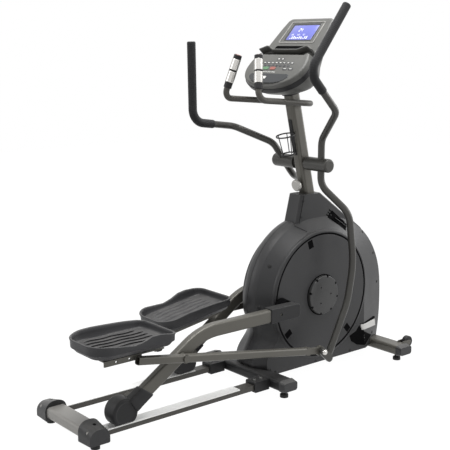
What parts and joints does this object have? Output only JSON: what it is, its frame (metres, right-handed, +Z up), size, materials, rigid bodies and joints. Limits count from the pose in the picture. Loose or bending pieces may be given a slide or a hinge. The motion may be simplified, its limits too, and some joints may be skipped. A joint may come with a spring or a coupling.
{
  "type": "elliptical trainer",
  "caption": "Elliptical trainer with a front crank drum, roller rails, linked pedal arms, swinging handles, pulse grips and a console on a leaning mast.",
  "frame": {"origin": "on the floor, under the middle of the box", "axes": "+X forward, from the rear rails to the console; +Y to the user's left; +Z up"},
  "size_m": [1.787, 0.54, 1.6421],
  "materials": {
    "frame_paint": "satin gunmetal paint",
    "arm_paint": "satin warm gunmetal paint",
    "light_paint": "light metallic grey paint",
    "drum_plastic": "fine textured charcoal plastic",
    "disc_plastic": "smooth black plastic",
    "black_plastic": "black moulded plastic",
    "grey_plastic": "grey moulded plastic",
    "pedal_plastic": "textured dark grey plastic",
    "foam": "closed cell foam",
    "foot_rubber": "matte black rubber",
    "belt_rubber": "ribbed rubber",
    "roller_tyre": "urethane",
    "track_metal": "bright extruded aluminium",
    "steel": "machined steel",
    "iron": "machined cast iron",
    "silver": "satin aluminium",
    "contact_chrome": "polished",
    "button_plastic": "smooth plastic",
    "key_plastic": "pale key caps",
    "screen_glass": "blue screen under a clear window"
  },
  "bodies": {
    "frame": {"main_frame": "frame_paint", "mid_stabilizer": "frame_paint", "front_stabilizer": "frame_paint", "rear_stabilizer": "light_paint", "stabilizer_caps": "black_plastic", "levelling_feet": "foot_rubber", "rails": "frame_paint", "rail_tracks": "track_metal", "rail_clamps": "black_plastic", "clamp_bolts": "steel", "rear_end_covers": "black_plastic", "neck_cover": "drum_plastic", "right_shell": "drum_plastic", "left_shell": "drum_plastic", "drive_belt": "belt_rubber", "mast": "frame_paint", "handle_axle": "steel", "bottle_cage": "frame_paint", "pulse_bar": "frame_paint", "pulse_grips": "black_plastic", "pulse_contacts": "contact_chrome", "console_back": "grey_plastic", "console_face": "black_plastic", "display": "screen_glass", "reading_ledge": "black_plastic", "console_keys": "key_plastic"},
    "crank": {"crank": "frame_paint", "right_crank_disc": "disc_plastic", "left_crank_disc": "disc_plastic", "hub_caps": "disc_plastic", "drive_pulley": "black_plastic"},
    "flywheel": {"flywheel": "iron"},
    "brake": {"brake_magnets": "steel"},
    "lock_knob": {"mast_knob": "silver"},
    "right_carriage": {"right_roller_axle": "steel"},
    "right_roller_wheel": {"right_roller": "roller_tyre"},
    "right_arm": {"right_main_arm": "arm_paint", "right_nose_cover": "black_plastic", "right_wheel_cover": "black_plastic"},
    "right_link_arm": {"right_link": "arm_paint"},
    "right_foot_tray": {"right_pedal": "pedal_plastic"},
    "right_tilt_screw": {"right_tilt_knob": "black_plastic"},
    "right_handle": {"right_swing_arm": "frame_paint", "right_upper_handle": "frame_paint", "right_foam_grip": "foam"},
    "right_transport_wheel": {"right_cart_wheel": "black_plastic"},
    "right_button": {"right_thumb_button": "button_plastic"},
    "left_carriage": {"left_roller_axle": "steel"},
    "left_roller_wheel": {"left_roller": "roller_tyre"},
    "left_arm": {"left_main_arm": "arm_paint", "left_nose_cover": "black_plastic", "left_wheel_cover": "black_plastic"},
    "left_link_arm": {"left_link": "arm_paint"},
    "left_foot_tray": {"left_pedal": "pedal_plastic"},
    "left_tilt_screw": {"left_tilt_knob": "black_plastic"},
    "left_handle": {"left_swing_arm": "frame_paint", "left_upper_handle": "frame_paint", "left_foam_grip": "foam"},
    "left_transport_wheel": {"left_cart_wheel": "black_plastic"},
    "left_button": {"left_thumb_button": "button_plastic"}
  },
  "joints": [
    {"name": "crank_spin", "type": "hinge", "parent": "frame", "child": "crank", "pos_m": [0.3935, 0, 0.364], "axis": [0, 1, 0], "continuous": true},
    {"name": "flywheel_spin", "type": "hinge", "parent": "frame", "child": "flywheel", "pos_m": [0.6895, 0, 0.3], "axis": [0, 1, 0], "continuous": true},
    {"name": "brake_lift", "type": "slide", "parent": "frame", "child": "brake", "axis": [0, 0, 1], "range_m": [0, 0.012]},
    {"name": "lock_knob_turn", "type": "hinge", "parent": "frame", "child": "lock_knob", "pos_m": [0.37798, 0, 0.866], "axis": [-0.974, 0, -0.2267], "continuous": true},
    {"name": "right_stride", "type": "slide", "parent": "frame", "child": "right_carriage", "axis": [1, 0, 0], "range_m": [0, 0.5154]},
    {"name": "right_roller_spin", "type": "hinge", "parent": "right_carriage", "child": "right_roller_wheel", "pos_m": [-0.7215, -0.149, 0.11], "axis": [0, 1, 0], "range_deg": [0, 656.22]},
    {"name": "right_arm_pitch", "type": "hinge", "parent": "right_carriage", "child": "right_arm", "pos_m": [-0.7215, -0.149, 0.11], "axis": [0, 1, 0], "range_deg": [-1.84, 0]},
    {"name": "right_link_pitch", "type": "hinge", "parent": "right_arm", "child": "right_link_arm", "pos_m": [-0.46298, -0.206, 0.27742], "axis": [0, 1, 0], "range_deg": [-7.44, 0]},
    {"name": "right_handle_swing", "type": "hinge", "parent": "frame", "child": "right_handle", "pos_m": [0.3575, -0.118, 0.954], "axis": [0, 1, 0], "range_deg": [-38.81, 0]},
    {"name": "right_pedal_tilt", "type": "hinge", "parent": "right_link_arm", "child": "right_foot_tray", "pos_m": [-0.7985, -0.132, 0.344], "axis": [0, -1, 0], "range_deg": [0, 10]},
    {"name": "right_tilt_screw_turn", "type": "hinge", "parent": "right_link_arm", "child": "right_tilt_screw", "pos_m": [-0.5465, -0.132, 0.32], "axis": [1, 0, 0], "range_deg": [0, 360.5]},
    {"name": "right_transport_spin", "type": "hinge", "parent": "frame", "child": "right_transport_wheel", "pos_m": [0.8655, -0.213, 0.074], "axis": [0, 1, 0], "continuous": true},
    {"name": "right_button_press", "type": "slide", "parent": "frame", "child": "right_button", "axis": [-0.2115, -0.2449, -0.9462], "range_m": [0, 0.002], "stiffness_N_per_m": 600},
    {"name": "left_stride", "type": "slide", "parent": "frame", "child": "left_carriage", "axis": [1, 0, 0], "range_m": [-0.51541, 0]},
    {"name": "left_roller_spin", "type": "hinge", "parent": "left_carriage", "child": "left_roller_wheel", "pos_m": [-0.2061, 0.149, 0.11], "axis": [0, 1, 0], "range_deg": [-656.22, 0]},
    {"name": "left_arm_pitch", "type": "hinge", "parent": "left_carriage", "child": "left_arm", "pos_m": [-0.2061, 0.149, 0.11], "axis": [0, 1, 0], "range_deg": [0, 1.84]},
    {"name": "left_link_pitch", "type": "hinge", "parent": "left_arm", "child": "left_link_arm", "pos_m": [0.04692, 0.206, 0.28562], "axis": [0, 1, 0], "range_deg": [0, 7.44]},
    {"name": "left_handle_swing", "type": "hinge", "parent": "frame", "child": "left_handle", "pos_m": [0.3575, 0.118, 0.954], "axis": [0, 1, 0], "range_deg": [0, 38.81]},
    {"name": "left_pedal_tilt", "type": "hinge", "parent": "left_link_arm", "child": "left_foot_tray", "pos_m": [-0.29495, 0.132, 0.29723], "axis": [0, -1, 0], "range_deg": [0, 10]},
    {"name": "left_tilt_screw_turn", "type": "hinge", "parent": "left_link_arm", "child": "left_tilt_screw", "pos_m": [-0.04237, 0.132, 0.31417], "axis": [0.9869, 0, 0.1612], "range_deg": [0, 360.5]},
    {"name": "left_transport_spin", "type": "hinge", "parent": "frame", "child": "left_transport_wheel", "pos_m": [0.8655, 0.213, 0.074], "axis": [0, 1, 0], "continuous": true},
    {"name": "left_button_press", "type": "slide", "parent": "frame", "child": "left_button", "axis": [-0.2115, 0.2449, -0.9462], "range_m": [0, 0.002], "stiffness_N_per_m": 600}
  ],
  "couplings": [
    {"joint": "flywheel_spin", "follows": "crank_spin", "ratio": 6.25},
    {"joint": "right_roller_spin", "follows": "right_stride", "rad_per_m": 22.222},
    {"joint": "right_arm_pitch", "follows": "right_stride", "rad_per_m": -0.06217},
    {"joint": "right_link_pitch", "follows": "right_stride", "rad_per_m": -0.252},
    {"joint": "right_handle_swing", "follows": "right_stride", "rad_per_m": -1.3143},
    {"joint": "right_tilt_screw_turn", "follows": "right_pedal_tilt", "ratio": 36},
    {"joint": "left_stride", "follows": "right_stride", "ratio": -1},
    {"joint": "left_roller_spin", "follows": "right_stride", "rad_per_m": -22.222},
    {"joint": "left_arm_pitch", "follows": "right_stride", "rad_per_m": 0.06217},
    {"joint": "left_link_pitch", "follows": "right_stride", "rad_per_m": 0.252},
    {"joint": "left_handle_swing", "follows": "right_stride", "rad_per_m": 1.3143},
    {"joint": "left_tilt_screw_turn", "follows": "left_pedal_tilt", "ratio": 36}
  ]
}
